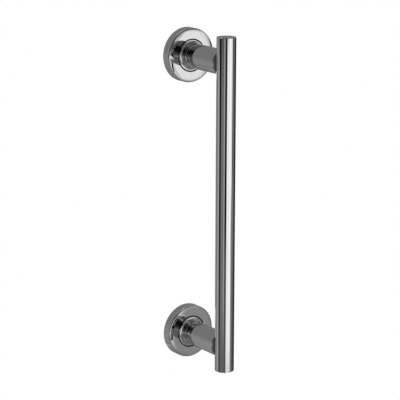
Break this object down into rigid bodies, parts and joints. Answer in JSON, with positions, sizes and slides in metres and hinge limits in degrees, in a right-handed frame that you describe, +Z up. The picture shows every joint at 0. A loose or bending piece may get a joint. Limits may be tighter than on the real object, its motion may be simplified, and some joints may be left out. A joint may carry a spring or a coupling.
{
  "type": "grab rail",
  "caption": "Straight round grab rail on stand-off posts, with slide-off round rose covers that hide the wall screws.",
  "frame": {"origin": "on the wall plane, midway between the axes of the two posts", "axes": "+X to the right seen from the front, +Y into the wall, +Z up along the bar"},
  "size_m": [0.0536, 0.0765, 0.3356],
  "materials": {
    "polished_chrome": "mirror polished chrome plate",
    "turned_steel": "bright turned steel",
    "black_steel": "black oxide steel",
    "zinc_plate": "zinc plated pressed steel",
    "pad": "matte fibre-filled rubber",
    "seal_rubber": "matte nitrile rubber"
  },
  "bodies": {
    "rail": {"bar_tube": "polished_chrome", "upper_end_cap": "polished_chrome", "lower_end_cap": "polished_chrome", "upper_bar_insert": "turned_steel", "lower_bar_insert": "turned_steel", "upper_stud": "turned_steel", "lower_stud": "turned_steel", "upper_post": "polished_chrome", "lower_post": "polished_chrome", "upper_collar": "polished_chrome", "lower_collar": "polished_chrome", "upper_set_screw": "black_steel", "lower_set_screw": "black_steel", "upper_collar_screws": "black_steel", "lower_collar_screws": "black_steel", "upper_base_plate": "zinc_plate", "lower_base_plate": "zinc_plate", "upper_wall_pad": "pad", "lower_wall_pad": "pad", "upper_sealing_ring": "seal_rubber", "lower_sealing_ring": "seal_rubber"},
    "upper_cover": {"upper_rose_cover": "polished_chrome"},
    "lower_cover": {"lower_rose_cover": "polished_chrome"}
  },
  "joints": [
    {"name": "upper_rose_slide", "type": "slide", "parent": "rail", "child": "upper_cover", "axis": [0, -1, 0], "range_m": [0, 0.046]},
    {"name": "lower_rose_slide", "type": "slide", "parent": "rail", "child": "lower_cover", "axis": [0, -1, 0], "range_m": [0, 0.046]}
  ]
}
